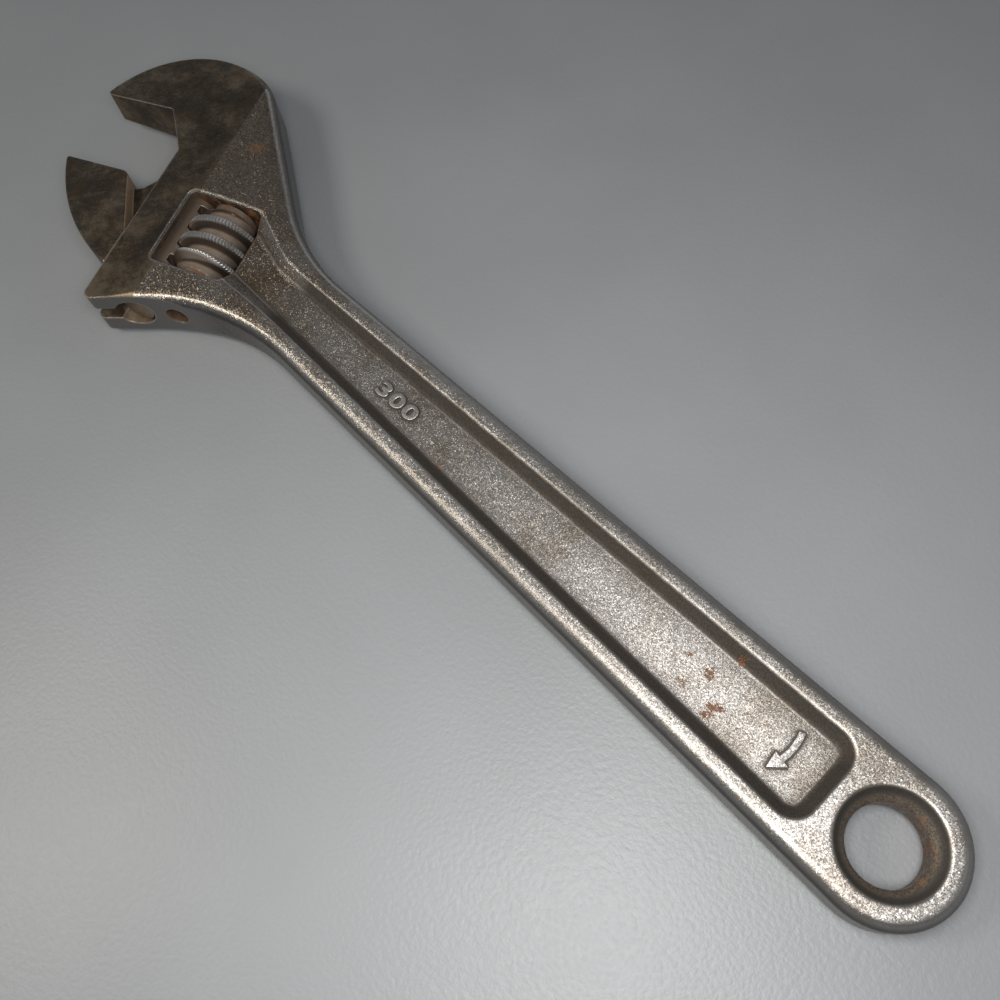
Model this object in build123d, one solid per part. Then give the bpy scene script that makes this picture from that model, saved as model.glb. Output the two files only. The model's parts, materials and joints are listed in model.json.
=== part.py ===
from build123d import *
import os
from math import acos, atan2, ceil, cos, degrees, floor, hypot, pi, radians, sin, sqrt, tan

# Adjustable wrench of the 300 mm size: a forged body with the fixed jaw, a jaw that slides on a
# toothed rail, and the knurl that drives it, with its pin and spring. Millimetres and degrees.
#
# The origin is the centre of the hanging hole at mid thickness. +X runs along the handle to the
# head, +Y to the side that the jaw opens to, and +Z is up when the wrench lies flat.
# The head has a frame of its own, turned by head_angle: u along the jaws, v along the slide.

# Handle
overall_length = 307.0
handle_end_radius = 16.6
handle_root_half_width = 11.8   # where the sides run into the head
handle_root_back = 35.0         # from the slide face back to that place, along the handle
handle_thickness = 12.5
edge_radius = 3.0               # rounding of the forging's outer edges
neck_radius = 54.0              # between the handle and both sides of the head

# Hanging hole
hole_diameter = 17.0
hole_flare_diameter = 23.0
hole_land = 5.6                 # straight part of the bore
hole_edge_radius = 1.2

# Recessed panel on each face of the handle
panel_rim = 4.8
panel_end = 14.4                # from the hole's centre to the end wall
panel_web = 7.6                 # metal left between the two panels
panel_wall_angle = 50.0
panel_corner_radius = 3.0
panel_root_radius = 2.0
panel_edge_radius = 1.0
panel_flare = 14.0              # length over which the upper side opens out to the window

# Head
head_angle = 22.5
head_thickness = 16.4
jaw_tip_thickness = 10.0
grind_line = 14.1               # from the slide face back to the ridge where the ground faces start
rise_start = 58.0               # the head swells from handle to head thickness between these two
rise_end = 18.0
crest_radius = 33.2             # round top of the head, which is also the back of the fixed jaw
crest_u = 2.8
crest_v = -12.9
back_inset = 2.3                # the head's straight back, inside the crest's circle
back_angle = 54.3               # that back, against the jaws
shoulder_radius = 20.0          # between the crest and the back
slide_end = 42.1                # v of the slide face's lower corner
end_slant = 20.5                # the lower end leans back by this angle
end_trim = 1.2                  # milled off the lower end, which makes its edges crisper
end_trim_lead = 4.7
end_corner_radius = 2.2

# Jaws
opening_at_rest = 24.2
fixed_face_v = -24.6
fixed_root_u = 10.0
throat_v = -11.5
throat_radius = 1.0
nose_radius = 1.0
jaw_reach = 33.0
jaw_root_u = 11.0
jaw_root_radius = 3.0
relief_angle = 60.4             # back of the sliding jaw, against the slide face
jaw_depth = 29.9                # from the gripping face to the heel
jaw_back_radius = 60.0
jaw_tip_radius = 0.8
jaw_edge_radius = 0.5
slide_clearance = 0.15

# Rail, web and rack
rail_diameter = 9.9
rail_drop = 11.7                # rail centre below the slide face
rail_lead = 10.6                # rail's front end ahead of the gripping face
rail_length = 47.0
rail_clearance = 0.1
rail_chamfer = 0.6
bore_end_clearance = 0.8
web_thickness = 4.3
web_clearance = 0.15
web_notch_u = 7.0
web_notch_set = 1.4             # notch behind the gripping face
web_front_angle = 54.0
web_tail = 4.0                  # web stops this far before the heel

# Knurl
knurl_diameter = 20.0
knurl_hub_step = 0.2            # plain ends, below the bottom of the thread's groove
knurl_length = 23.4
knurl_side_clearance = 0.3
knurl_back_clearance = 0.6
knurl_plain_end = 1.6           # hub without thread at each end
knurl_end_slope = 45.0          # the thread runs out on a cone of this slope
knurl_bore_clearance = 0.1
worm_pitch = 5.75
worm_phase_v = 7.93             # v of a crest on the upper side
worm_crest_width = 1.5
worm_flank_angle = 16.0
worm_depth = 3.25               # how far the worm reaches into the rail
worm_root_clearance = 0.25      # from the rail to the bottom of the worm's groove
rack_clearance = 0.3
window_start_v = 0.3
window_corner_radius = 1.5
window_edge_break = 0.5

# Pin and spring
pin_diameter = 5.0
pin_thread_diameter = 6.0
pin_seat = 4.0                  # depth of the blind end
pin_recess = 2.6                # slotted end below the surface
pin_slot_width = 1.1
pin_slot_depth = 1.3
pin_clearance = 0.04
spring_wire = 0.7
spring_diameter = 7.4           # at the middle of the wire
spring_turns = 3.5
spring_pocket_depth = 5.5
spring_clearance = 0.3
spring_end_gap = 0.1            # to the bottom of the pocket, which turns

# Derived places
handle_half = handle_thickness / 2
head_half = head_thickness / 2
far = overall_length
grind_fall = (head_thickness - jaw_tip_thickness) / 2 / (grind_line + jaw_reach)
head_cos = cos(radians(head_angle))
head_sin = sin(radians(head_angle))
head_x = overall_length - handle_end_radius - crest_radius - crest_u * head_cos + crest_v * head_sin
head = Location((head_x, 0, 0), (0, 0, head_angle))
back_distance = crest_radius - back_inset

jaw_face_v = fixed_face_v + opening_at_rest
heel_v = jaw_face_v + jaw_depth

rail_radius = rail_diameter / 2
bore_radius = rail_radius + rail_clearance
rail_front_v = jaw_face_v - rail_lead
rail_back_v = rail_front_v + rail_length
bore_end_v = fixed_face_v - rail_lead - bore_end_clearance

knurl_radius = knurl_diameter / 2
knurl_root_radius = knurl_radius - worm_depth - worm_root_clearance
knurl_hub_radius = knurl_root_radius - knurl_hub_step
knurl_u = -rail_drop - rail_radius - knurl_radius + worm_depth
knurl_start_v = window_start_v + knurl_side_clearance
knurl_end_v = knurl_start_v + knurl_length
window_end_v = knurl_end_v + knurl_side_clearance
window_front_u = -rail_drop
window_back_u = knurl_u - knurl_radius - knurl_back_clearance
window_middle_v = (window_start_v + window_end_v) / 2
rail_crest_v = worm_phase_v + worm_pitch / 4
pin_end_v = slide_end + knurl_u * tan(radians(end_slant)) - pin_recess


def in_part(u, v):
    """Place of a head point in the part's own X and Y."""
    return Vector(head_x + u * head_cos - v * head_sin, u * head_sin + v * head_cos)


def toward(angle):
    """Unit vector in plan at an angle from +X."""
    return Vector(cos(radians(angle)), sin(radians(angle)))


def on_plan(*points, depth=head_thickness):
    """Prism through the head from an outline in u and v."""
    return extrude(Polygon(*points, align=None), amount=depth, both=True)


def on_side(*points):
    """Prism along the whole slide from an outline in u and z."""
    return extrude(Plane.XZ * Polygon(*points, align=None), amount=far, both=True)


def along_slide(u, start_v):
    """Frame whose Z runs along v from a place on the slide."""
    return Location((u, start_v, 0), (-90, 0, 0))


def rod(radius, start_v, end_v, u):
    """Round bar along v."""
    bar = Cylinder(radius, end_v - start_v, align=(Align.CENTER, Align.CENTER, Align.MIN))
    return along_slide(u, start_v) * bar


def vertex_near(shape, x, y):
    """The outline corner nearest to a known crossing of two sides."""
    return min(shape.vertices(), key=lambda corner: hypot(corner.X - x, corner.Y - y))


def upright_near(shape, x, y):
    """The upright edge nearest to a place in plan."""
    return min(shape.edges().filter_by(Axis.Z), key=lambda edge: hypot(edge.center().X - x, edge.center().Y - y))


def edges_near(shape, place, height):
    """The edge nearest to a place in plan at a height, and its twin on the other face."""
    spots = [Vertex(place.X, place.Y, z) for z in (height, -height)]
    return [min(shape.edges(), key=lambda edge: edge.distance_to(spot)) for spot in spots]


def crossing(point, direction, other, other_direction):
    """Where two lines of the plan cross."""
    across = direction.X * other_direction.Y - direction.Y * other_direction.X
    gap = other - point
    run = (gap.X * other_direction.Y - gap.Y * other_direction.X) / across
    return point + direction * run


def ground_off():
    """What grinding takes off both faces of the head and jaws, from the ridge to the tips."""
    tip_z = head_half - grind_fall * (grind_line + far)
    top = on_side((-grind_line, head_half), (far, tip_z), (far, far), (-grind_line, far))
    return top + mirror(top, about=Plane.XY)


def handle_side(side):
    """Where one straight side of the handle leaves the round end, and its direction. Side is +1 or -1 in Y."""
    root = Vector(head_x - handle_root_back, handle_root_half_width)
    turn = atan2(root.Y, root.X) + acos(handle_end_radius / root.length)
    touch = Vector(handle_end_radius * cos(turn), side * handle_end_radius * sin(turn))
    return touch, (Vector(root.X, side * root.Y) - touch).normalized()


end_run = toward(head_angle + end_slant)
end_out = toward(head_angle + end_slant + 90)
mouth_corner = in_part(0, slide_end)
blank_front = in_part(crest_u + crest_radius, crest_v)
blank_throat = in_part(fixed_root_u, crest_v)
blank_end = mouth_corner + end_out * end_trim + end_run * 3 * edge_radius


def body_outline():
    """Plan of the forging, with metal still standing where the mouth will be cut."""
    crest = in_part(crest_u, crest_v)
    back_run = toward(head_angle - back_angle)
    back_out = toward(head_angle - back_angle - 90)
    back_point = crest + back_out * back_distance
    shoulder = back_point + back_run * sqrt(crest_radius**2 - back_distance**2)
    top = in_part(crest_u, crest_v - crest_radius)

    upper_touch, upper_run = handle_side(-1)
    lower_touch, lower_run = handle_side(1)
    upper_neck = crossing(upper_touch, upper_run, back_point, back_run)
    lower_neck = crossing(lower_touch, lower_run, blank_end, end_run)
    plan = make_face([
        ThreePointArc(shoulder, top, blank_front),
        Line(blank_front, blank_throat),
        Line(blank_throat, blank_end),
        Line(blank_end, lower_neck),
        Line(lower_neck, lower_touch),
        ThreePointArc(lower_touch, (-handle_end_radius, 0), upper_touch),
        Line(upper_touch, upper_neck),
        Line(upper_neck, shoulder),
    ])
    plan = fillet([vertex_near(plan, neck.X, neck.Y) for neck in (upper_neck, lower_neck)], neck_radius)
    return fillet([vertex_near(plan, shoulder.X, shoulder.Y)], shoulder_radius)


def end_cut():
    """What is milled off the lower end: its flat, and a sweep that runs out along the neck."""
    lower_touch, lower_run = handle_side(1)
    lower_neck = crossing(lower_touch, lower_run, blank_end, end_run)
    turn = radians(head_angle + end_slant) - atan2(lower_run.Y, lower_run.X)
    tangent_point = lower_neck + end_run * (neck_radius * tan(turn / 2) + end_trim_lead) - end_out * end_trim
    front = mouth_corner + end_run * 4 * edge_radius
    flat = Line(front, tangent_point)
    sweep_out = JernArc(tangent_point, -end_run, neck_radius, -degrees(turn))
    outside = sweep_out @ 1 + end_out * 2 * neck_radius
    corner = front + end_out * 2 * neck_radius
    rest = Polyline(sweep_out @ 1, outside, corner, front)
    return extrude(make_face([flat, sweep_out, rest]), amount=head_thickness, both=True)


def forging():
    """Body blank: the plan, swelling from the handle to the head, with its outer edges rounded."""
    middle_u = -(rise_start + rise_end) / 2
    middle_z = (handle_half + head_half) / 2
    low = Line((-far, handle_half), (-rise_start, handle_half))
    swell = TangentArc((-rise_start, handle_half), (middle_u, middle_z), tangent=(1, 0))
    settle = TangentArc((middle_u, middle_z), (-rise_end, head_half), tangent=swell % 1)
    high = Line((-rise_end, head_half), (far, head_half))
    upper = [low, swell, settle, high]
    lower = [mirror(edge, about=Plane.XZ) for edge in upper]
    ends = [Line((x, -z), (x, z)) for x, z in ((-far, handle_half), (far, head_half))]
    side_face = make_face(upper + lower + ends)
    swelling = head * extrude(Plane.XZ * side_face, amount=far, both=True)

    blank = extrude(body_outline(), amount=head_thickness, both=True) & swelling
    slide_run = toward(head_angle + 90)
    jaw_run = toward(head_angle)
    rounded = []
    for edge in blank.edges():
        run = edge % 0.5
        level = abs((edge @ 0.5).Z) > handle_half / 2 and abs(run.Z) < 0.5
        seam = abs(run.dot(slide_run)) > 0.999
        in_mouth = edge.geom_type == GeomType.LINE and (edge @ 0.5 - mouth_corner).dot(jaw_run) > 0
        if level and not seam and not in_mouth:
            rounded.append(edge)
    return fillet(rounded, edge_radius) - end_cut()


def mouth():
    """Space between the jaws: fixed gripping face, sloping throat and slide face."""
    outline = Polygon(
        (far, fixed_face_v), (far, far), (0, far), (0, throat_v), (fixed_root_u, fixed_face_v), align=None
    )
    corners = [vertex_near(outline, fixed_root_u, fixed_face_v), vertex_near(outline, 0, throat_v)]
    return extrude(fillet(corners, throat_radius), amount=head_thickness, both=True)


def web_front(face_v):
    """Front edge of the web, from the rail's end over the notch to the jaw's root, for a gripping face at face_v."""
    front_v = face_v - rail_lead
    notch_v = face_v + web_notch_set
    front_u = web_notch_u - (notch_v - front_v) / tan(radians(web_front_angle))
    root_u = jaw_root_u - jaw_root_radius / 2
    root_v = face_v + (jaw_root_u - root_u) * tan(radians(relief_angle))
    return (front_u, front_v), (web_notch_u, notch_v), (root_u, root_v)


def rail_way():
    """Blind bore for the rail, and the slot that its web runs in up to the throat."""
    bore = rod(bore_radius, bore_end_v, far, -rail_drop)
    half_slot = web_thickness / 2 + web_clearance
    front, notch, root = web_front(fixed_face_v - bore_end_clearance)
    slot = on_plan(
        root, (root[0], far), (-rail_drop, far), (-rail_drop, bore_end_v), front, notch, depth=half_slot,
    )
    return bore + slot


def window():
    """Opening for the knurl, right through the head, down into the rail's bore, with broken edges."""
    outline = Polygon(
        (window_front_u, window_start_v), (window_front_u, window_end_v),
        (window_back_u, window_end_v), (window_back_u, window_start_v), align=None,
    )
    outline = fillet(outline.vertices(), window_corner_radius)
    on_face = Location((0, 0, head_half - window_edge_break))
    upper_break = on_face * extrude(outline, amount=3 * window_edge_break, taper=-45)
    opening = extrude(outline, amount=head_thickness, both=True)
    return opening + upper_break + mirror(upper_break, about=Plane.XY)


def pin_holes():
    """Blind seat above the window, clear hole below it."""
    seat = rod(pin_diameter / 2 + pin_clearance, window_start_v - pin_seat, knurl_end_v, knurl_u)
    thread = rod(pin_thread_diameter / 2 + pin_clearance, knurl_end_v, far, knurl_u)
    return seat + thread


def panel():
    """Recess in the handle's upper face, from the hole's end wall into the window."""
    run = tan(radians(panel_wall_angle))
    inset = (handle_half - panel_web / 2) * run
    head_inset = (head_half - panel_web / 2) * run
    side_point, side_run = handle_side(1)

    def half_width(x):
        return side_point.Y + (x - side_point.X) * side_run.Y / side_run.X - panel_rim - inset

    end_x = panel_end + inset
    lower_corner = in_part(window_back_u, window_end_v - window_corner_radius)
    upper_corner = in_part(window_back_u, window_start_v + head_inset)
    inside = in_part(knurl_u, window_middle_v)
    flare_x = upper_corner.X - panel_flare
    floor_plan = Polygon(
        (end_x, -half_width(end_x)), (flare_x, -half_width(flare_x)), (upper_corner.X, upper_corner.Y),
        (inside.X, inside.Y), (lower_corner.X, half_width(lower_corner.X)), (end_x, half_width(end_x)), align=None,
    )
    corners = [vertex_near(floor_plan, end_x, side * half_width(end_x)) for side in (-1, 1)]
    floor_plan = fillet(corners, panel_corner_radius)
    floor_plan = fillet([vertex_near(floor_plan, flare_x, -half_width(flare_x))], panel_flare)
    recess = extrude(floor_plan, amount=head_half, taper=-panel_wall_angle)
    floor_edges = recess.faces().sort_by(Axis.Z)[0].edges()
    in_window = Vertex(inside.X, inside.Y)
    roots = [edge for edge in floor_edges if edge.distance_to(in_window) > panel_root_radius]
    return Location((0, 0, panel_web / 2)) * fillet(roots, panel_root_radius)


def hang_hole():
    """Straight bore with a flare on each face."""
    flare_depth = handle_half - hole_land / 2
    reach = (hole_flare_diameter - hole_diameter) / 2 / flare_depth
    over = edge_radius
    half_land = hole_land / 2
    profile = Polygon(
        (0, 0), (hole_diameter / 2, 0), (hole_diameter / 2, half_land),
        (hole_flare_diameter / 2 + over * reach, handle_half + over), (0, handle_half + over), align=None,
    )
    upper = revolve(Plane.XZ * profile, axis=Axis.Z)
    return upper + mirror(upper, about=Plane.XY)


def make_body():
    body = forging() - head * (ground_off() + mouth())
    nose = in_part(jaw_reach, fixed_face_v)
    body = fillet([upright_near(body, nose.X, nose.Y)], nose_radius)
    body = fillet([upright_near(body, mouth_corner.X, mouth_corner.Y)], end_corner_radius)
    upper_panel = panel()
    body = body - upper_panel - mirror(upper_panel, about=Plane.XY) - hang_hole()
    body = fillet(edges_near(body, Vector(panel_end, 0), handle_half), panel_edge_radius)
    body = fillet(edges_near(body, Vector(-hole_flare_diameter / 2, 0), handle_half), hole_edge_radius)
    return body - head * (rail_way() + window() + pin_holes())


def worm_width(radius):
    """Width of the worm's thread at a radius."""
    return worm_crest_width + 2 * (knurl_radius - radius) * tan(radians(worm_flank_angle))


def rack_groove():
    """One groove of the rack, as a disc cutter leaves it, at v of 0 beside the knurl's axis."""
    outer = knurl_radius + rack_clearance
    inner = knurl_root_radius - rack_clearance
    half_outer = worm_width(knurl_radius) / 2 + rack_clearance
    half_inner = worm_width(inner) / 2 + rack_clearance
    section = Polygon((inner, -half_inner), (outer, -half_outer), (outer, half_outer), (inner, half_inner), align=None)
    lead_angle = degrees(atan2(worm_pitch, pi * knurl_diameter))
    disc = revolve(section, axis=Axis.Y)
    return Location((knurl_u, 0, 0), (lead_angle, 0, 0)) * disc


def make_sliding_jaw():
    face_v = jaw_face_v
    base_u = slide_clearance
    relief_v = face_v + (jaw_root_u - base_u) * tan(radians(relief_angle))
    grip = Line((jaw_root_u, face_v), (jaw_reach, face_v))
    back = RadiusArc((jaw_reach, face_v), (base_u, heel_v), -jaw_back_radius)
    seat = Line((base_u, heel_v), (base_u, relief_v))
    relief = Line((base_u, relief_v), (jaw_root_u, face_v))
    plan = make_face([grip, back, seat, relief])
    plan = fillet([vertex_near(plan, jaw_root_u, face_v)], jaw_root_radius)
    plan = fillet([vertex_near(plan, jaw_reach, face_v)], jaw_tip_radius)
    jaw = extrude(plan, amount=head_thickness, both=True) & on_side(
        (-far, -head_half), (far, -head_half), (far, head_half), (-far, head_half)
    )
    jaw = jaw - ground_off()
    faces = jaw.faces().sort_by(Axis.Z)
    jaw = fillet(faces[0].edges() + faces[-1].edges(), jaw_edge_radius)

    front, notch, root = web_front(face_v)
    web = on_plan(
        root, (jaw_root_u, face_v + jaw_root_u), (web_notch_u, heel_v - web_tail),
        (-rail_drop, heel_v - web_tail), (-rail_drop, rail_front_v), front, notch, depth=web_thickness / 2,
    )
    rail = rod(rail_radius, rail_front_v, rail_back_v, -rail_drop)
    rail = chamfer(rail.edges().filter_by(GeomType.CIRCLE), rail_chamfer)
    jaw = jaw + web + rail

    first = ceil((rail_front_v - rail_crest_v) / worm_pitch)
    last = floor((rail_back_v - rail_crest_v) / worm_pitch)
    groove = rack_groove()
    for tooth in range(first, last + 1):
        jaw = jaw - Location((0, rail_crest_v + tooth * worm_pitch, 0)) * groove
    return jaw


def make_knurl():
    """Worm cut into a barrel. Drawn along +Z from its first end, then laid along the slide."""
    shoulder = knurl_plain_end + (knurl_radius - knurl_hub_radius) / tan(radians(knurl_end_slope))
    barrel = revolve(Plane.XZ * Polygon(
        (0, 0), (knurl_hub_radius, 0), (knurl_hub_radius, knurl_plain_end), (knurl_radius, shoulder),
        (knurl_radius, knurl_length - shoulder), (knurl_hub_radius, knurl_length - knurl_plain_end),
        (knurl_hub_radius, knurl_length), (0, knurl_length), align=None,
    ), axis=Axis.Z)

    path = Helix(worm_pitch, worm_pitch, knurl_root_radius)
    proud = knurl_radius + rack_clearance
    rise = proud - knurl_root_radius
    half_root = (worm_pitch - worm_width(knurl_root_radius)) / 2
    half_crest = (worm_pitch - worm_width(proud)) / 2
    section_plane = Plane(origin=path @ 0, x_dir=(1, 0, 0), z_dir=path % 0)
    section = section_plane * Polygon(
        (0, -half_root), (rise, -half_crest), (rise, half_crest), (0, half_root), align=None
    )
    groove = sweep(section, path=path, is_frenet=True)
    crest_z = (rail_crest_v - knurl_start_v) % worm_pitch
    knurl = barrel
    for turn in range(ceil(knurl_length / worm_pitch) + 2):
        knurl = knurl - Location((0, 0, crest_z + (turn - 1.5) * worm_pitch)) * groove

    pin_bore = Cylinder(pin_diameter / 2 + knurl_bore_clearance, 3 * knurl_length)
    pocket_radius = (spring_diameter + spring_wire) / 2 + spring_clearance
    pocket = Cylinder(pocket_radius, 2 * spring_pocket_depth)
    return along_slide(knurl_u, knurl_start_v) * (knurl - pin_bore - pocket)


def make_knurl_pin():
    """Plain pin through the knurl, with a thicker threaded end that is slotted for a screwdriver."""
    thread_start_v = window_end_v + pin_slot_width
    seat_end_v = window_start_v - pin_seat + knurl_side_clearance
    shank = rod(pin_diameter / 2, seat_end_v, pin_end_v, knurl_u)
    thread = rod(pin_thread_diameter / 2, thread_start_v, pin_end_v, knurl_u)
    slot = Location((knurl_u, pin_end_v, 0)) * Box(pin_thread_diameter * 2, 2 * pin_slot_depth, pin_slot_width)
    return shank + thread - slot


def spring_point(turn, length):
    """Middle of the wire and its direction, after some turns, along +Z."""
    angle = 2 * pi * turn
    radius = spring_diameter / 2
    lead = length / spring_turns
    place = Vector(radius * cos(angle), radius * sin(angle), lead * turn)
    heading = Vector(-radius * sin(angle), radius * cos(angle), lead / (2 * pi)).normalized()
    return place, heading


def spring_gap(length):
    """Least gap between one turn of the wire and the next, from points on its middle line."""
    steps = 48
    places = [spring_point(step / steps, length)[0] for step in range(round(spring_turns * steps) + 1)]
    least = min(
        (places[later] - places[first]).length
        for first in range(len(places))
        for later in range(first + steps // 2, len(places))
    )
    return least - spring_wire


def biarc(start, start_heading, end, end_heading):
    """Two arcs that leave one point and reach another in given directions."""
    chord = end - start
    both = start_heading + end_heading
    along = chord.dot(both)
    bend = 4 - both.dot(both)
    reach = (sqrt(along**2 + bend * chord.dot(chord)) - along) / bend
    joint = (start + start_heading * reach + end - end_heading * reach) * 0.5
    first = TangentArc(start, joint, tangent=start_heading)
    return [first, TangentArc(joint, end, tangent=first % 1)]


def make_knurl_spring():
    """Spring between the window's wall and the bottom of the knurl's pocket, with its ends ground flat."""
    length = knurl_start_v + spring_pocket_depth - spring_end_gap - window_start_v
    arcs = []
    for quarter in range(round(4 * spring_turns)):
        arcs += biarc(*spring_point(quarter / 4, length), *spring_point((quarter + 1) / 4, length))
    path = Wire(arcs)
    wire = sweep(Plane(origin=path @ 0, z_dir=path % 0) * Circle(spring_wire / 2), path=path)
    between = Cylinder(spring_diameter, length, align=(Align.CENTER, Align.CENTER, Align.MIN))
    print(f"least gap of the spring to itself: {spring_gap(length):.2f} mm")
    return along_slide(knurl_u, window_start_v) * (wire & between)


if __name__ == "__main__":
    os.makedirs("parts", exist_ok=True)
    export_step(make_body(), "parts/body.step")
    export_step(head * make_sliding_jaw(), "parts/sliding_jaw.step")
    export_step(head * make_knurl(), "parts/knurl.step")
    export_step(head * make_knurl_pin(), "parts/knurl_pin.step")
    export_step(head * make_knurl_spring(), "parts/knurl_spring.step")
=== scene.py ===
import json
from math import atan2, ceil, cos, pi, radians, sin, tan

import bmesh
import bpy
from mathutils import Matrix, Vector


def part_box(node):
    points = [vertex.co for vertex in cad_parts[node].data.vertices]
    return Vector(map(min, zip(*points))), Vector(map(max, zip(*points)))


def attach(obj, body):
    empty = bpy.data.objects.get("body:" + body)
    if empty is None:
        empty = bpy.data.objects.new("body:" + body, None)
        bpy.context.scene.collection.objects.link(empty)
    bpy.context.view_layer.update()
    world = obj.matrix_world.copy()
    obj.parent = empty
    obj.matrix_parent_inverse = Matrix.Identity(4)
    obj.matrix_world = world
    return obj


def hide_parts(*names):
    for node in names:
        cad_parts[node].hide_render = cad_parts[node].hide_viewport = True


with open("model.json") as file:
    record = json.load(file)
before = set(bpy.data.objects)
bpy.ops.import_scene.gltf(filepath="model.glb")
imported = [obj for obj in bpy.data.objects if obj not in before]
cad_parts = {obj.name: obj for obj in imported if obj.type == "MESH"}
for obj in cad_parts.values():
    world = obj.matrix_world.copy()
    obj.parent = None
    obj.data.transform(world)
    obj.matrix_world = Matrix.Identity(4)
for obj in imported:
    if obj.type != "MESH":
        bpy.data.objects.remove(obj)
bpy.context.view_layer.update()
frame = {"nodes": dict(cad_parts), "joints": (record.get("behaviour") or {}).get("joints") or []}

# An adjustable wrench on a pale bench. Sizes are millimetres, in the frame of the wrench: the
# hanging hole is the origin, +X runs to the head and +Z is up. The head has a frame of its own,
# whose origin is the middle of the knurl: u runs along the jaws, v along the slide and w up.
MM = 0.001
merge_gap = 0.001               # points nearer than this become one
joints = {joint["name"]: joint for joint in frame["joints"]}
slide_run = Vector(joints["jaw_slide"]["axis"])
knurl_middle = Vector(joints["knurl_spin"]["pos_m"])
head_turn = atan2(-slide_run.x, slide_run.y)
head_place = Matrix.Translation(knurl_middle) @ Matrix.Rotation(head_turn, 4, "Z")

# Head, in its own frame
ridge_u = 9.3                   # ground faces start here
slide_face_u = 23.4
window_front_u = 11.7
window_back_u = -10.6
window_half_v = 12.0
window_rim = 7.3                # height under which the window's walls start
rail_u = 11.7
rail_bore = 5.05
pin_bore = 3.04
grip_v = -12.7                  # gripping face of the sliding jaw
end_corner_v = 29.8             # lower end of the slide face
end_slant = radians(20.5)
milled_run_out = -6.0           # the milled lower end fades into the neck here
holes_v = 10.0                  # bores of the lower end start past here
grinding_turn = radians(31)     # run of the grinding marks, from u

# Knurl
knurl_radius = 10.0
knurl_root = 6.5
knurl_hub = 6.3
knurl_length = 23.4
knurl_plain_end = 1.6
knurl_bore = 2.6
spring_pocket = 4.35
spring_pocket_depth = 5.5
thread_pitch = 5.75
thread_crest = 1.5
thread_flank = tan(radians(16))
thread_start = 3.0175           # first crest, from the knurl's upper end
thread_rounding = 0.35
grip_teeth = 66                 # straight teeth round the thread's crest
grip_tooth_depth = 0.32
columns_per_tooth = 6
rows_per_pitch = 34
knurl_crease = radians(38)      # edges steeper than this stay sharp

# Handle, its panel and its hanging hole
panel_floor = 3.8
handle_top = 6.25               # height of the handle's face beside the panel
panel_start = 14.4              # end of the panel beside the hole
head_start = 190.0              # the panel runs out into the head from here on
hole_wall = 8.5
flare_radius = 11.5

# Raised marks on the panel
mark_rise = 0.6
mark_edge = 0.3                 # soft edge of a mark, as a share of its rise
mark_crease = radians(50)
number_text = "300"
number_middle = (148.8, 0.2)
number_height = 4.3
number_width = 13.6
number_weight = 0.03            # how far the strokes are thickened
number_spacing = 1.18
arrow_radius = 13.5             # bow of the arrow's shaft
arrow_bow = (39.0, -1.1)        # centre of that bow
arrow_start = radians(-18.5)
arrow_neck = radians(13.0)
arrow_tip = radians(27.5)
arrow_half_width = 0.62
arrow_barb = 1.85
arrow_steps = 10                # straight runs in the bowed shaft

# Skin of the plate, and how it changes along the handle
grain_size = 0.42
lump_size = 1.9
stain_size = 11.0
facet_size = 0.25
plate_tilt = 0.20               # spread of the facets' slopes
steep_facets = 1.9              # the few steep ones, against the others
head_facets = 2.9               # those at the head, against those at the hole
glint_run = (60.0, 230.0)       # facets get steeper along this
browned_run = (140.0, 235.0)    # plate turns brown along this
dimmed_run = (130.0, 90.0)     # rim top is darkened along this, towards the hole, as painted shade that dims its highlight
polished_highlight_run = (120.0, 185.0)   # rim is rubbed bright along this, towards the head, partly a painted highlight line

# Wear, grime and rust, and a painted highlight on the window's edges
edge_wear = 0.7                 # rubbed rounding of the body's edges
window_wear_and_glint = 0.7               # what the window's edges have on top of it: rubbed steel that is also a painted highlight
jaw_wear = 0.5
pin_wear = 0.2
corner_reach = 3.2              # depth of the corners that grime sits in
haze_reach = 8.0                # depth of those with a thin film
outline_reach = 2.0             # width of the dirt round the marks
mark_reach = 1.6                # height of the dirt on the marks
jaw_reach = 3.0
blotch_size = 2.2
speck_size = 0.5
spot_size = 0.6                 # ragged outline of the rust spots
plate_rust = (                  # spots on the plate: middle and radius
    (48.3, -1.5, 2.0), (51.4, 4.0, 1.2), (43.3, 3.8, 1.7), (42.9, 5.8, 1.6), (41.8, 2.6, 1.3),
    (54.2, -1.5, 1.0), (45.0, -8.3, 1.2), (236.1, -25.7, 2.2), (128.0, 5.2, 1.0),
)

# Bench, camera and light. Lamps are in metres and watts.
bench_half = 3000.0
bench_foot = 3.0                # the handle rests this far from its end
sensor_width = 36.0
lens = 36.23
eye = (30.939, 53.445, 223.518)
eye_target = (112.387, 0.370, 0.0)
eye_roll = radians(-12.331)
lamps = {                       # place, target, width, power and tint
    "left_lamp": ((0.34, 0.26, 0.42), (0.20, 0.0, 0.0), 0.16, 0.76, (1.0, 0.92, 0.80)),
    "near_lamp": ((0.031, 0.053, 0.235), (0.031, 0.053, 0.0), 0.12, 0.56, (1.0, 0.985, 0.97)),
}
room_tint = (0.55, 0.58, 0.62)
room_rise = {                   # light of the room, from the horizon to overhead
    "From Min": 0.20, "From Max": 0.70, "To Min": 0.88, "To Max": 0.19,
}

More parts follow.
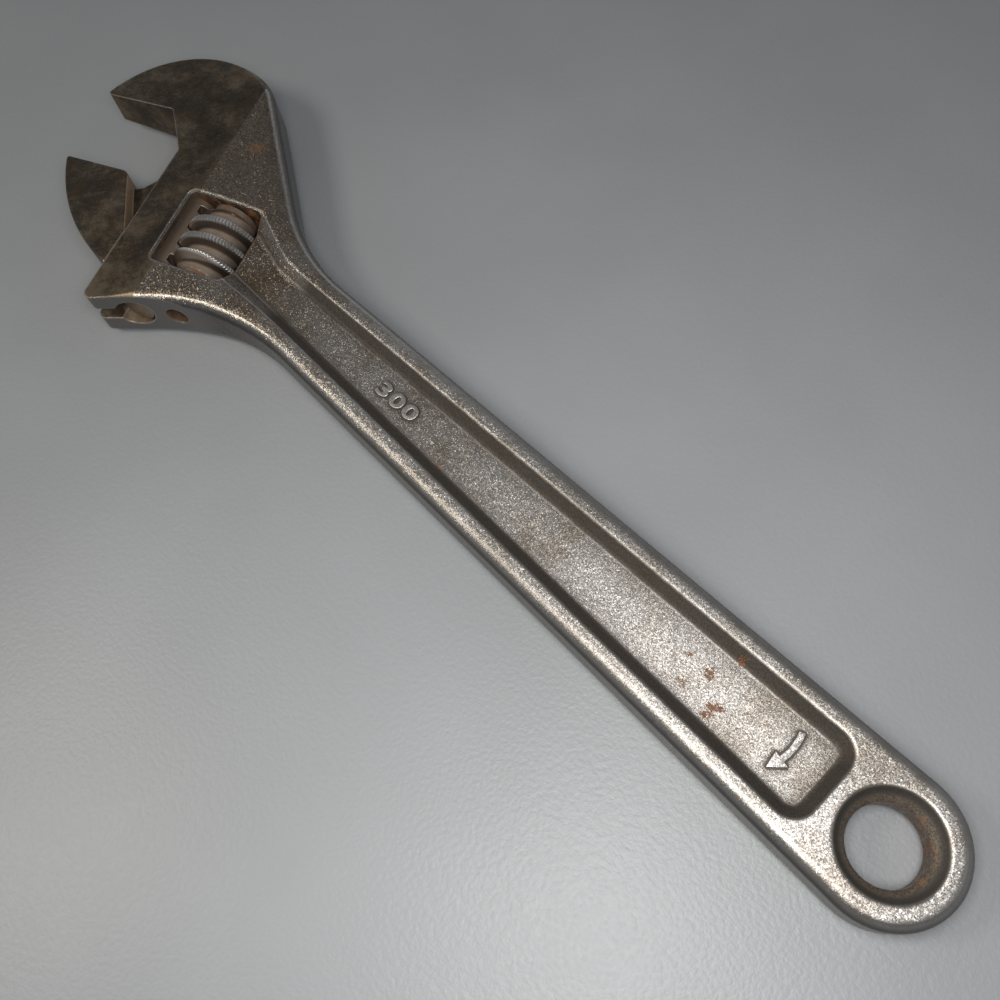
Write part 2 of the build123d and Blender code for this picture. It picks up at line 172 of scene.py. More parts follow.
# Colours, linear
plate_grey = (0.50, 0.475, 0.445)
plate_warm = (0.36, 0.32, 0.275)
head_brown = (0.150, 0.110, 0.073)
# painted shade on the rims' roundings, and on the rim top near the hole
rim_shade_grey = (0.21, 0.195, 0.175)
# painted shade for the upright sides
side_shade_grey = (0.105, 0.099, 0.090)
# grime in corners, also used as painted shade on the panel walls and the hole's flare
grime_and_shade_brown = (0.043, 0.033, 0.024)
oil_tan = (0.20, 0.142, 0.085)
ground_brown = (0.088, 0.070, 0.050)
ground_dark = (0.044, 0.036, 0.027)
ground_tan = (0.25, 0.198, 0.136)
land_tan = (0.36, 0.275, 0.195)
ground_rust = (0.165, 0.092, 0.042)
# rusty brown made lighter, painted light on the jaw's shoulder
web_lit_brown = (0.40, 0.275, 0.18)
rail_brown = (0.23, 0.172, 0.128)
milled_grey = (0.22, 0.215, 0.21)
groove_pink = (0.28, 0.22, 0.178)
crest_grey = (0.48, 0.455, 0.425)
flank_dark = (0.22, 0.178, 0.142)
pin_grey = (0.33, 0.30, 0.27)
wire_grey = (0.36, 0.33, 0.30)
rust_orange = (0.265, 0.105, 0.030)
rust_dark = (0.060, 0.032, 0.017)
bare_steel = (0.60, 0.58, 0.55)
bench_grey = (0.325, 0.337, 0.349)


class Amount:
    """A number in a node tree, so that the formula of a finish or a shape reads as arithmetic."""

    def __init__(self, tree, socket):
        self.tree = tree
        self.socket = socket

    def __add__(self, other):
        return worked_out(self.tree, "ADD", self, other)

    def __radd__(self, other):
        return worked_out(self.tree, "ADD", other, self)

    def __sub__(self, other):
        return worked_out(self.tree, "SUBTRACT", self, other)

    def __rsub__(self, other):
        return worked_out(self.tree, "SUBTRACT", other, self)

    def __mul__(self, other):
        return worked_out(self.tree, "MULTIPLY", self, other)

    def __rmul__(self, other):
        return worked_out(self.tree, "MULTIPLY", other, self)

    def __truediv__(self, other):
        return worked_out(self.tree, "DIVIDE", self, other)

    def step(self, operation, *others):
        return worked_out(self.tree, operation, self, *others)

    def size(self):
        return worked_out(self.tree, "ABSOLUTE", self)


def feed(tree, value, socket):
    """Gives a socket a number of its own or the result of another node."""
    if isinstance(value, Amount):
        tree.links.new(value.socket, socket)
    else:
        socket.default_value = value


def worked_out(tree, operation, *values):
    node = tree.nodes.new("ShaderNodeMath")
    node.operation = operation
    for value, socket in zip(values, node.inputs):
        feed(tree, value, socket)
    return Amount(tree, node.outputs[0])


def least(first, *others):
    for other in others:
        first = first.step("MINIMUM", other)
    return first


def most(first, *others):
    for other in others:
        first = first.step("MAXIMUM", other)
    return first


def mixed(low, high, share):
    """Number between two others, the second one where share is 1."""
    return low + (high - low) * share


class Finish:
    """One procedural material, with lengths in millimetres of the wrench."""

    def __init__(self, name):
        self.material = bpy.data.materials.new(name)
        self.material.use_nodes = True
        self.tree = self.material.node_tree
        self.shader = self.tree.nodes["Principled BSDF"]
        self.here = self.node("ShaderNodeTexCoord").outputs["Object"]
        self.outward = self.node("ShaderNodeNewGeometry").outputs["Normal"]

    def node(self, kind, **settings):
        node = self.tree.nodes.new(kind)
        for name, value in settings.items():
            setattr(node, name, value)
        return node

    def in_frame(self, turn=0.0, origin=(0, 0, 0)):
        """Place in millimetres in a frame with its own origin and turn about Z."""
        lined_up = Matrix.Rotation(-turn, 4, "Z") @ Vector(origin)
        node = self.node("ShaderNodeMapping")
        node.inputs["Scale"].default_value = (1 / MM, 1 / MM, 1 / MM)
        node.inputs["Rotation"].default_value = (0, 0, -turn)
        node.inputs["Location"].default_value = -lined_up / MM
        self.tree.links.new(self.here, node.inputs["Vector"])
        return node.outputs["Vector"]

    def streaked(self, place, length, width):
        """Place as seen by a pattern whose grains are long along X and narrow across it."""
        node = self.node("ShaderNodeVectorMath", operation="DIVIDE")
        self.tree.links.new(place, node.inputs[0])
        node.inputs[1].default_value = (length, width, width)
        return node.outputs[0]

    def parts_of(self, vector):
        node = self.node("ShaderNodeSeparateXYZ")
        self.tree.links.new(vector, node.inputs[0])
        return [Amount(self.tree, socket) for socket in node.outputs]

    def noise(self, place, grain, detail=2.0, roughness=0.5):
        node = self.node("ShaderNodeTexNoise")
        self.tree.links.new(place, node.inputs["Vector"])
        node.inputs["Scale"].default_value = 1 / grain
        node.inputs["Detail"].default_value = detail
        node.inputs["Roughness"].default_value = roughness
        return Amount(self.tree, node.outputs["Fac"])

    def fade(self, value, low, high):
        """0 up to low and 1 from high on, with a soft change between. Low may be the larger one."""
        node = self.node("ShaderNodeMapRange", interpolation_type="SMOOTHSTEP")
        feed(self.tree, value, node.inputs["Value"])
        node.inputs["From Min"].default_value = low
        node.inputs["From Max"].default_value = high
        return Amount(self.tree, node.outputs["Result"])

    def coat(self, under, share, over):
        """Colour under, covered by another one where share is 1."""
        node = self.node("ShaderNodeMix", data_type="RGBA")
        feed(self.tree, share, node.inputs[0])
        for colour, socket in ((under, node.inputs[6]), (over, node.inputs[7])):
            feed(self.tree, colour if isinstance(colour, Amount) else (*colour, 1), socket)
        return Amount(self.tree, node.outputs[2])

    def recess(self, reach, alone=True):
        """How far a place lies in a corner of its own piece, or also of others: 0 to about 1."""
        node = self.node("ShaderNodeAmbientOcclusion", only_local=alone, samples=8)
        node.inputs["Distance"].default_value = reach * MM
        return 1 - Amount(self.tree, node.outputs["AO"])

    def worn_edge(self, radius):
        """How near a place lies to a sharp edge, and the normal of that edge rubbed round."""
        node = self.node("ShaderNodeBevel", samples=6)
        feed(self.tree, radius * MM, node.inputs["Radius"])
        dot = self.node("ShaderNodeVectorMath", operation="DOT_PRODUCT")
        self.tree.links.new(node.outputs[0], dot.inputs[0])
        self.tree.links.new(self.outward, dot.inputs[1])
        return 1 - Amount(self.tree, dot.outputs["Value"]), node.outputs[0]

    def facets(self, place, grain, tilt, normal):
        """Normal of a skin of small facets, each tilted its own way and a few of them steeply."""
        cells = self.node("ShaderNodeTexVoronoi")
        self.tree.links.new(place, cells.inputs["Vector"])
        cells.inputs["Scale"].default_value = 1 / grain
        chance = self.parts_of(cells.outputs["Color"])[2]
        centred = self.node("ShaderNodeVectorMath", operation="SUBTRACT")
        self.tree.links.new(cells.outputs["Color"], centred.inputs[0])
        centred.inputs[1].default_value = (0.5, 0.5, 0.5)
        tilted = self.node("ShaderNodeVectorMath", operation="SCALE")
        self.tree.links.new(centred.outputs[0], tilted.inputs[0])
        steepness = mixed(1.0, steep_facets, self.fade(chance, 0.72, 0.90))
        feed(self.tree, steepness * tilt, tilted.inputs["Scale"])
        total = self.node("ShaderNodeVectorMath", operation="ADD")
        self.tree.links.new(normal, total.inputs[0])
        self.tree.links.new(tilted.outputs[0], total.inputs[1])
        whole = self.node("ShaderNodeVectorMath", operation="NORMALIZE")
        self.tree.links.new(total.outputs[0], whole.inputs[0])
        return whole.outputs[0]

    def raised(self, height, normal=None):
        """Normal of a surface with a height in millimetres on it."""
        node = self.node("ShaderNodeBump")
        node.inputs["Distance"].default_value = MM
        feed(self.tree, height, node.inputs["Height"])
        if normal:
            self.tree.links.new(normal, node.inputs["Normal"])
        return Amount(self.tree, node.outputs[0])

    def done(self, colour, roughness, metal, normal):
        feed(self.tree, colour, self.shader.inputs["Base Color"])
        feed(self.tree, roughness, self.shader.inputs["Roughness"])
        feed(self.tree, metal, self.shader.inputs["Metallic"])
        feed(self.tree, normal, self.shader.inputs["Normal"])
        return self.material


def rust_spots(finish, place, spots):
    """Speckled spots of rust, each given by its middle and radius."""
    x, y, _ = finish.parts_of(place)
    ragged = finish.noise(place, spot_size, 4.0, 0.75)
    total = None
    for spot_x, spot_y, radius in spots:
        away = ((x - spot_x).step("POWER", 2.0) + (y - spot_y).step("POWER", 2.0)).step("SQRT")
        one = finish.fade(away / radius + (ragged - 0.5) * 6.0, 0.75, 0.35)
        total = one if total is None else most(total, one)
    return total


def rust_colour(finish, blotch):
    return finish.coat(rust_dark, finish.fade(blotch, 0.44, 0.72), rust_orange)


def ground_steel(finish):
    """Ground face gone brown: cloudy tarnish, thinner along grinding marks and at the lower end."""
    head = finish.in_frame(head_turn, knurl_middle)
    grinding = finish.in_frame(head_turn + grinding_turn, knurl_middle)
    v = finish.parts_of(head)[1]
    cloud = finish.noise(head, 10.0, 4.0, 0.55)
    mottle = finish.noise(head, blotch_size, 4.0, 0.65)
    speck = finish.noise(head, speck_size, 3.0, 0.7)
    streak = finish.noise(finish.streaked(grinding, 14.0, 0.9), 1.0, 4.0, 0.6)
    line = finish.noise(finish.streaked(grinding, 9.0, 0.22), 1.0, 2.0, 0.6)
    scratch = finish.fade(line, 0.60, 0.74)
    worn = cloud + (mottle - 0.5) * 0.5 + (streak - 0.5) * 0.22 + (speck - 0.5) * 0.5
    worn = worn + finish.fade(v, 2.0, 30.0) * 0.22
    tint = finish.fade(finish.noise(head, 5.5, 4.0, 0.6) + (speck - 0.5) * 0.4, 0.48, 0.74)
    colour = finish.coat(ground_brown, finish.fade(worn, 0.42, 0.80), ground_tan)
    colour = finish.coat(colour, finish.fade(worn, 0.48, 0.22) * 0.65, ground_dark)
    colour = finish.coat(colour, tint * 0.40, ground_rust)
    colour = finish.coat(colour, scratch * 0.35, ground_tan)
    roughness = 0.45 - scratch * 0.08 + (speck - 0.5) * 0.2
    height = (streak - 0.5) * 0.020 + (line - 0.5) * 0.010 + (speck - 0.5) * 0.016
    return colour, roughness, height


def forged_plate():
    """Body: granular nickel plate, ground and tarnished towards the jaw, rusty in the holes.
    Painted shade darkens its upright sides, rim roundings, panel walls and hole flare, and a
    painted highlight runs along the rim near the head.
    """
    finish = Finish("forged_plate")
    place = finish.in_frame()
    head = finish.in_frame(head_turn, knurl_middle)
    x, y, z = finish.parts_of(place)
    u, v, w = finish.parts_of(head)
    facing = finish.parts_of(finish.outward)
    level = facing[2].size()
    from_hole = (x * x + y * y).step("SQRT")
    in_head = finish.fade(x, head_start, head_start + 8.0)

    grain = finish.noise(place, grain_size, 3.0, 0.65)
    lump = finish.noise(place, lump_size, 3.0, 0.55)
    stain = finish.noise(place, stain_size, 4.0, 0.6)
    lying = finish.fade(level, 0.25, 0.80)
    plate_height = (grain - 0.5) * 0.05 * lying + (lump - 0.5) * 0.07
    colour = finish.coat(plate_grey, finish.fade(stain, 0.40, 0.70), plate_warm)
    browned = finish.fade(x + (stain - 0.5) * 60.0, *browned_run)
    colour = finish.coat(colour, browned * 0.85, head_brown)
    # Painted shade: the rims' roundings are darkened, giving their far sides a dark outline and
    # narrowing their highlights.
    bend = finish.fade(level, 0.97, 0.89)
    colour = finish.coat(colour, bend * 0.65, rim_shade_grey)
    # Wear and painted highlight: the rim's crest towards the head is lightened back to the plate's
    # grey, making a continuous bright line.
    polished_highlight = bend * finish.fade(level, 0.72, 0.88) * finish.fade(x, *polished_highlight_run)
    colour = finish.coat(colour, polished_highlight * 0.7, plate_grey)
    # Painted shade: the rim's top near the hole is darkened to dim its highlight.
    dimmed_rim = finish.fade(z.size(), handle_top - 0.9, handle_top - 0.3)
    dimmed_rim = dimmed_rim * finish.fade(x, panel_start + 2.0, panel_start + 12.0)
    dimmed_rim = dimmed_rim * finish.fade(x, *dimmed_run)
    colour = finish.coat(colour, dimmed_rim * 0.45, rim_shade_grey)
    # Painted shade: upright faces get a dark grey in place of the plate's colour.
    colour = finish.coat(side_shade_grey, finish.fade(level, 0.30, 0.88), colour)
    by_head = finish.fade(x, *glint_run)
    plate_rough = mixed(0.38, 0.44, lying) - bend * 0.06 - by_head * 0.07

    corner = finish.recess(corner_reach)
    haze = finish.recess(haze_reach)
    outline = finish.recess(outline_reach, alone=False)
    grime_and_shade = finish.fade(corner + (lump - 0.5) * 0.35 + (stain - 0.5) * 0.30, 0.28, 0.66)
    # Painted shade, with some grime: the panel's inward-facing walls and its end wall are darkened.
    end_wall = finish.fade(facing[0], 0.08, 0.25)
    end_wall = end_wall * finish.fade(x, panel_start + 5.0, panel_start + 3.0)
    inward = facing[1] * y.step("SIGN") * -1.0
    wall = most(finish.fade(inward + (lump - 0.5) * 0.2, 0.06, 0.32), end_wall)
    wall = wall * finish.fade(from_hole, flare_radius + 0.5, flare_radius + 1.5)
    wall = wall * finish.fade(z.size() + (lump - 0.5) * 0.5, handle_top, handle_top - 0.5)
    wall = wall * (1 - in_head)
    foot = finish.fade(haze * mixed(0.0, 2.0, grain) + (lump - 0.5) * 0.04, 0.03, 0.10)
    foot = foot * (1 - in_head)
    grime_and_shade = most(grime_and_shade, foot * 0.75, wall * mixed(1.2, 0.70, grain))
    grime_and_shade = most(grime_and_shade, finish.fade(outline + (lump - 0.5) * 0.08, 0.03, 0.12) * 0.9)
    # Painted shade: the hole's flare is darkened, most towards its outer edge.
    flare = finish.fade(from_hole, flare_radius + 0.25, flare_radius - 0.35)
    up_flare = finish.fade(from_hole + (grain - 0.5) * 3.0, hole_wall + 0.4, flare_radius - 0.6)
    flare = flare * mixed(0.30, 1.0, up_flare)
    grime_and_shade = most(grime_and_shade, flare * 0.90)
    oil = finish.fade(haze + (stain - 0.5) * 0.10 + (lump - 0.5) * 0.10, 0.03, 0.13)
    oil = oil * (1 - grime_and_shade)
    colour = finish.coat(colour, oil * 0.75, oil_tan)
    # Grime in corners, at wall feet and round the marks, and painted shade on the panel walls and
    # the hole's flare.
    colour = finish.coat(colour, grime_and_shade * 0.94, grime_and_shade_brown)
    land = finish.fade(from_hole, hole_wall + 1.9, hole_wall + 0.8) * finish.fade(grain, 0.40, 0.60)
    colour = finish.coat(colour, land * 0.75, land_tan)
    pits = finish.fade(grain + (stain - 0.5) * 0.35, 0.40, 0.30)
    colour = finish.coat(colour, pits * 0.45, grime_and_shade_brown)

    ground_colour, ground_rough, ground_height = ground_steel(finish)
    ground = finish.fade(u + (grain - 0.5) * 0.9, ridge_u - 0.25, ridge_u + 0.25)
    end_reach = (u - slide_face_u) * -sin(end_slant) + (v - end_corner_v) * cos(end_slant)
    milled = finish.fade(end_reach, -0.6, -0.3)
    milled = milled * finish.fade(u, milled_run_out - 9.0, milled_run_out)
    milled = milled * finish.fade(level, 0.40, 0.15)
    colour = finish.coat(colour, ground * (1 - milled), ground_colour)
    colour = finish.coat(colour, milled, milled_grey)
    plain = most(ground, milled)
    roughness = mixed(plate_rough, ground_rough, plain)
    height = mixed(plate_height, ground_height, plain)

    by_window = finish.fade(u, window_back_u - 2.5, window_back_u - 1.5)
    by_window = by_window * finish.fade(u, window_front_u + 2.5, window_front_u + 1.5)
    by_window = by_window * finish.fade(v.size(), window_half_v + 2.5, window_half_v + 1.5)
    # Bare steel on rubbed edges; along the window's edges it is wider and is also a painted
    # highlight.
    edge, rubbed = finish.worn_edge(edge_wear + by_window * window_wear_and_glint)
    bright = finish.fade(edge + (grain - 0.5) * 0.05, 0.02, 0.10) * (1 - corner)
    bright = bright * mixed(1.0, 0.4, ground * (1 - by_window))
    colour = finish.coat(colour, bright * 0.75, bare_steel)
    tilt = mixed(0.08, plate_tilt, lying) * mixed(1.0, head_facets, by_head)
    tilt = mixed(tilt, 0.10, plain * (1 - bright)) * (1 - bend * 0.4) * (1 - polished_highlight * 0.6)

    blotch = finish.noise(head, blotch_size, 5.0, 0.68)
    in_window = finish.fade(w.size(), window_rim + 0.4, window_rim - 0.4)
    in_window = in_window * finish.fade(u, window_back_u - 0.6, window_back_u - 0.2)
    in_window = in_window * finish.fade(u, window_front_u + 0.6, window_front_u + 0.2)
    in_window = in_window * finish.fade(v.size(), window_half_v + 0.5, window_half_v + 0.1)
    from_rail = ((u - rail_u).step("POWER", 2.0) + w * w).step("SQRT")
    from_pin = (u * u + w * w).step("SQRT")
    past_window = finish.fade(v, holes_v, holes_v + 2.0)
    in_rail = finish.fade(from_rail, rail_bore + 0.35, rail_bore) * past_window
    in_pin = finish.fade(from_pin, pin_bore + 0.4, pin_bore) * past_window
    hole_rust = finish.fade(from_hole + (grain - 0.5) * 2.0, hole_wall + 1.4, hole_wall + 0.4)
    hole_rust = hole_rust * finish.fade((x + y) * -1.0, -8.0, 9.0)
    spots = rust_spots(finish, place, plate_rust)
    walls = in_window * mixed(1.0, 0.55, finish.fade(u, window_front_u - 3.0, window_front_u - 0.5))
    rust = most(walls * 0.70, in_rail * 0.50, in_pin * 0.75, hole_rust * 0.53)
    rust = finish.fade(rust + (blotch - 0.5) * 1.5, 0.36, 0.85)
    colour = finish.coat(colour, walls * 0.40, rust_dark)
    colour = finish.coat(colour, rust, rust_colour(finish, blotch))
    spot_colour = finish.coat(rust_orange, finish.fade(grain, 0.56, 0.40), rust_dark)
    colour = finish.coat(colour, spots * 0.9, spot_colour)
    rust = most(rust, spots * 0.7)

    dull = most(rust * 0.85, grime_and_shade * 0.35, in_window * 0.4)
    roughness = mixed(roughness, 0.80, most(rust, grime_and_shade * 0.6, in_window * 0.5))
    height = height + rust * (blotch - 0.5) * 0.25
    skin = finish.facets(place, facet_size, tilt * (1 - most(rust, grime_and_shade * 0.6)), rubbed)
    return finish.done(colour, roughness, 1 - dull, finish.raised(height, skin))


def worn_plate():
    """Raised marks: granular plate, with grime at their feet."""
    finish = Finish("worn_plate")
    place = finish.in_frame()
    grain = finish.noise(place, grain_size, 3.0, 0.65)
    foot = finish.recess(mark_reach, alone=False)
    grime_and_shade = finish.fade(foot + (grain - 0.5) * 0.1, 0.06, 0.24)
    colour = finish.coat(plate_grey, grime_and_shade * 0.9, grime_and_shade_brown)
    skin = finish.facets(place, facet_size, plate_tilt, finish.outward)
    normal = finish.raised((grain - 0.5) * 0.03, skin)
    return finish.done(colour, mixed(0.44, 0.75, grime_and_shade), 1 - grime_and_shade * 0.45, normal)


def ground_jaw():
    """Sliding jaw: tarnished ground faces, bright rubbed edges, dirty rail and web, and a rusty
    shoulder painted lighter to look lit.
    """
    finish = Finish("ground_jaw")
    head = finish.in_frame(head_turn, knurl_middle)
    u, v, _ = finish.parts_of(head)
    colour, roughness, height = ground_steel(finish)
    blotch = finish.noise(head, blotch_size, 5.0, 0.65)

    inner = finish.fade(u, slide_face_u - 0.1, slide_face_u - 0.6)
    colour = finish.coat(colour, inner * 0.9, rail_brown)
    # Painted light: the shoulder facing the neck gets a light rusty brown so that it looks lit,
    # though it lies in shade.
    facing = finish.parts_of(finish.outward)
    facing_neck = facing[0] * -cos(head_turn) - facing[1] * sin(head_turn)
    lit_shoulder = finish.fade(facing_neck, 0.5, 0.8) * (1 - inner)
    colour = finish.coat(colour, lit_shoulder * 0.85, web_lit_brown)
    edge, rubbed = finish.worn_edge(jaw_wear)
    bright = finish.fade(edge + (blotch - 0.5) * 0.08, 0.02, 0.12)
    colour = finish.coat(colour, bright * 0.6, bare_steel)

    corner = finish.recess(jaw_reach)
    grip = finish.fade(v, grip_v + 0.5, grip_v + 0.1) * (1 - inner)
    rust = finish.fade(corner * 0.9 + grip * 0.25 + inner * 0.20 + (blotch - 0.5) * 1.1, 0.52, 0.95)
    colour = finish.coat(colour, rust * 0.85, rust_colour(finish, blotch))
    roughness = mixed(roughness, 0.78, rust)
    dull = most(rust * 0.8, inner * 0.3, lit_shoulder * 0.7)
    normal = finish.raised(height + rust * (blotch - 0.5) * 0.2, rubbed)
    return finish.done(colour, roughness, 1 - dull, normal)


def knurled_steel():
    """Knurl: rubbed teeth on the thread's dark crest, dull brown groove, rust at its ends."""
    finish = Finish("knurled_steel")
    head = finish.in_frame(head_turn, knurl_middle)
    u, v, w = finish.parts_of(head)
    radius = (u * u + w * w).step("SQRT")
    blotch = finish.noise(head, 2.0, 5.0, 0.65)
    speck = finish.noise(head, speck_size, 3.0, 0.6)
    crest = finish.fade(radius, knurl_radius - 1.0, knurl_radius - 0.45)
    tip = finish.fade(radius + (blotch - 0.5) * 0.3, knurl_radius - 0.16, knurl_radius - 0.03)
    groove = finish.fade(radius, knurl_root + 0.9, knurl_root + 0.2)
    colour = finish.coat(flank_dark, groove * finish.fade(blotch, 0.25, 0.55), groove_pink)
    colour = finish.coat(colour, crest, crest_grey)
    colour = finish.coat(colour, tip, bare_steel)
    at_ends = finish.fade(v.size(), knurl_length / 2 - 4.2, knurl_length / 2 - 1.0)
    rust = finish.fade(at_ends * 0.65 + (blotch - 0.5) * 1.3, 0.42, 0.95) * (1 - crest * 0.7)
    colour = finish.coat(colour, rust, rust_colour(finish, blotch))
    roughness = mixed(mixed(0.52, 0.40, crest), 0.80, rust) + (speck - 0.5) * 0.1
    height = (speck - 0.5) * 0.05 + rust * (blotch - 0.5) * 0.15
    return finish.done(colour, roughness, 1 - most(rust * 0.8, groove * 0.5), finish.raised(height))


def rusty_pin():
    """Pin: grey slotted end with rust, oily shank."""
    finish = Finish("rusty_pin")
    head = finish.in_frame(head_turn, knurl_middle)
    blotch = finish.noise(head, 1.4, 5.0, 0.65)
    edge, rubbed = finish.worn_edge(pin_wear)
    rust = finish.fade(blotch - edge * 0.4, 0.42, 0.56)
    colour = finish.coat(pin_grey, rust, rust_colour(finish, blotch))
    normal = finish.raised((blotch - 0.5) * 0.15, rubbed)
    return finish.done(colour, mixed(0.38, 0.82, rust), 1 - rust * 0.85, normal)


def drawn_wire():
    """Spring wire with a film of oil and dust."""
    finish = Finish("drawn_wire")
    head = finish.in_frame(head_turn, knurl_middle)
    blotch = finish.noise(head, 1.2, 4.0, 0.6)
    colour = finish.coat(wire_grey, finish.fade(blotch, 0.45, 0.65), rust_dark)
    normal = finish.raised((blotch - 0.5) * 0.05)
    return finish.done(colour, mixed(0.30, 0.6, blotch), 1 - blotch * 0.3, normal)


def bench_top():
    """Pale painted bench with a faint pebbled skin."""
    finish = Finish("bench_top")
    place = finish.in_frame()
    pebble = finish.noise(place, 1.1, 2.0, 0.5)
    tone = finish.noise(place, 60.0, 3.0, 0.5)
    bench_dark = tuple(0.93 * part for part in bench_grey)
    colour = finish.coat(bench_grey, finish.fade(tone, 0.3, 0.7), bench_dark)
    normal = finish.raised((pebble - 0.5) * 0.10)
    return finish.done(colour, 0.42 + (pebble - 0.5) * 0.1, 0.0, normal)


def thread_tree():
    """Geometry Nodes for the knurl: a skin along the thread's helix, its ends, pocket and bore."""
    tree = bpy.data.node_groups.new("knurl_thread", "GeometryNodeTree")
    inputs = {}

    def size(name, kind="NodeSocketFloat"):
        inputs[name] = tree.interface.new_socket(name, in_out="INPUT", socket_type=kind).identifier

    sizes = (
        "Radius", "Root", "Hub", "Length", "Plain end", "Pitch", "Crest", "Flank", "First crest",
        "Rounding", "Teeth", "Tooth depth", "Bore", "Pocket", "Pocket depth", "Rows per pitch",
    )
    for name in sizes:
        size(name)
    size("Columns", "NodeSocketInt")
    size("Rows", "NodeSocketInt")
    size("Finish", "NodeSocketMaterial")
    tree.interface.new_socket("Knurl", in_out="OUTPUT", socket_type="NodeSocketGeometry")
    entry = tree.nodes.new("NodeGroupInput")
    given = {name: Amount(tree, entry.outputs[name]) for name in inputs}

    def grid(rows):
        node = tree.nodes.new("GeometryNodeMeshGrid")
        feed(tree, given["Columns"] + 1, node.inputs["Vertices X"])
        feed(tree, rows, node.inputs["Vertices Y"])
        node.inputs["Size X"].default_value = 1.0
        node.inputs["Size Y"].default_value = 1.0
        apart = tree.nodes.new("ShaderNodeSeparateXYZ")
        tree.links.new(tree.nodes.new("GeometryNodeInputPosition").outputs[0], apart.inputs[0])
        round_share = Amount(tree, apart.outputs[0]) + 0.5
        along_share = Amount(tree, apart.outputs[1]) + 0.5
        return node.outputs["Mesh"], round_share, along_share

    def wrapped(mesh, radius, turn, along):
        """Moves a flat grid to its place round the knurl's axis."""
        point = tree.nodes.new("ShaderNodeCombineXYZ")
        feed(tree, radius * turn.step("COSINE"), point.inputs[0])
        feed(tree, along - given["Length"] / 2, point.inputs[1])
        feed(tree, radius * turn.step("SINE") * -1.0, point.inputs[2])
        move = tree.nodes.new("GeometryNodeSetPosition")
        tree.links.new(mesh, move.inputs["Geometry"])
        tree.links.new(point.outputs[0], move.inputs["Position"])
        return move.outputs[0]

    pitch = given["Pitch"]
    mesh, round_share, along_share = grid(given["Rows"] + 1)
    turn = round_share * (2 * pi)
    rise = pitch * round_share
    helix_place = along_share * given["Rows"] * pitch / given["Rows per pitch"] - pitch
    along = least(most(helix_place + rise, 0.0), given["Length"])
    from_crest = (along - rise - given["First crest"]).step("WRAP", pitch / 2, pitch * -0.5).size()
    tooth = (round_share * given["Teeth"] * 2).step("PINGPONG", 1.0)
    crest = given["Radius"] - tooth * given["Tooth depth"]
    flank = given["Radius"] - (from_crest - given["Crest"] / 2) / given["Flank"]
    thread = flank.step("SMOOTH_MIN", crest, given["Rounding"])
    thread = thread.step("SMOOTH_MAX", given["Root"], given["Rounding"])
    from_end = least(along, given["Length"] - along) - given["Plain end"]
    skin = wrapped(mesh, least(thread, most(from_end, 0.0) + given["Hub"]), turn, along)

    outline = (
        ("Hub", 0.0), ("Pocket", 0.0), ("Pocket", "Pocket depth"),
        ("Bore", "Pocket depth"), ("Bore", "Length"), ("Hub", "Length"),
    )
    mesh, round_share, along_share = grid(len(outline))
    row = (along_share * (len(outline) - 1)).step("ROUND")
    chosen = []
    for values in zip(*outline):
        pick = tree.nodes.new("GeometryNodeIndexSwitch")
        pick.data_type = "FLOAT"
        while len(pick.index_switch_items) < len(outline):
            pick.index_switch_items.new()
        feed(tree, row, pick.inputs["Index"])
        for value, socket in zip(values, pick.inputs[1:]):
            feed(tree, given[value] if value in given else value, socket)
        chosen.append(Amount(tree, pick.outputs[0]))
    inside = wrapped(mesh, chosen[0], round_share * (2 * pi), chosen[1])

    both = tree.nodes.new("GeometryNodeJoinGeometry")
    tree.links.new(inside, both.inputs[0])
    tree.links.new(skin, both.inputs[0])
    closed = tree.nodes.new("GeometryNodeMergeByDistance")
    closed.inputs["Distance"].default_value = merge_gap
    tree.links.new(both.outputs[0], closed.inputs["Geometry"])
    real = tree.nodes.new("GeometryNodeRealizeInstances")
    tree.links.new(closed.outputs[0], real.inputs[0])
    coated = tree.nodes.new("GeometryNodeSetMaterial")
    tree.links.new(real.outputs[0], coated.inputs["Geometry"])
    tree.links.new(entry.outputs["Finish"], coated.inputs["Material"])
    leave = tree.nodes.new("NodeGroupOutput")
    tree.links.new(coated.outputs[0], leave.inputs[0])
    return tree, inputs


def finished_mesh(source):
    """Plain mesh of an object as its modifiers, curve or text make it. The object goes."""
    bpy.context.scene.collection.objects.link(source)
    bpy.context.view_layer.update()
    evaluated = source.evaluated_get(bpy.context.evaluated_depsgraph_get())
    mesh = bpy.data.meshes.new_from_object(evaluated)
    source.modifiers.clear()
    bpy.data.objects.remove(source)
    return mesh


def faced_outward(mesh):
    work = bmesh.new()
    work.from_mesh(mesh)
    bmesh.ops.remove_doubles(work, verts=work.verts, dist=merge_gap * MM)
    bmesh.ops.recalc_face_normals(work, faces=work.faces)
    work.to_mesh(mesh)
    work.free()


def piece(name, mesh, body):
    """Finished mesh as a piece of the wrench that moves with a body."""
    mesh.name = name
    made = bpy.data.objects.new(name, mesh)
    bpy.context.scene.collection.objects.link(made)
    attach(made, body)
    return made


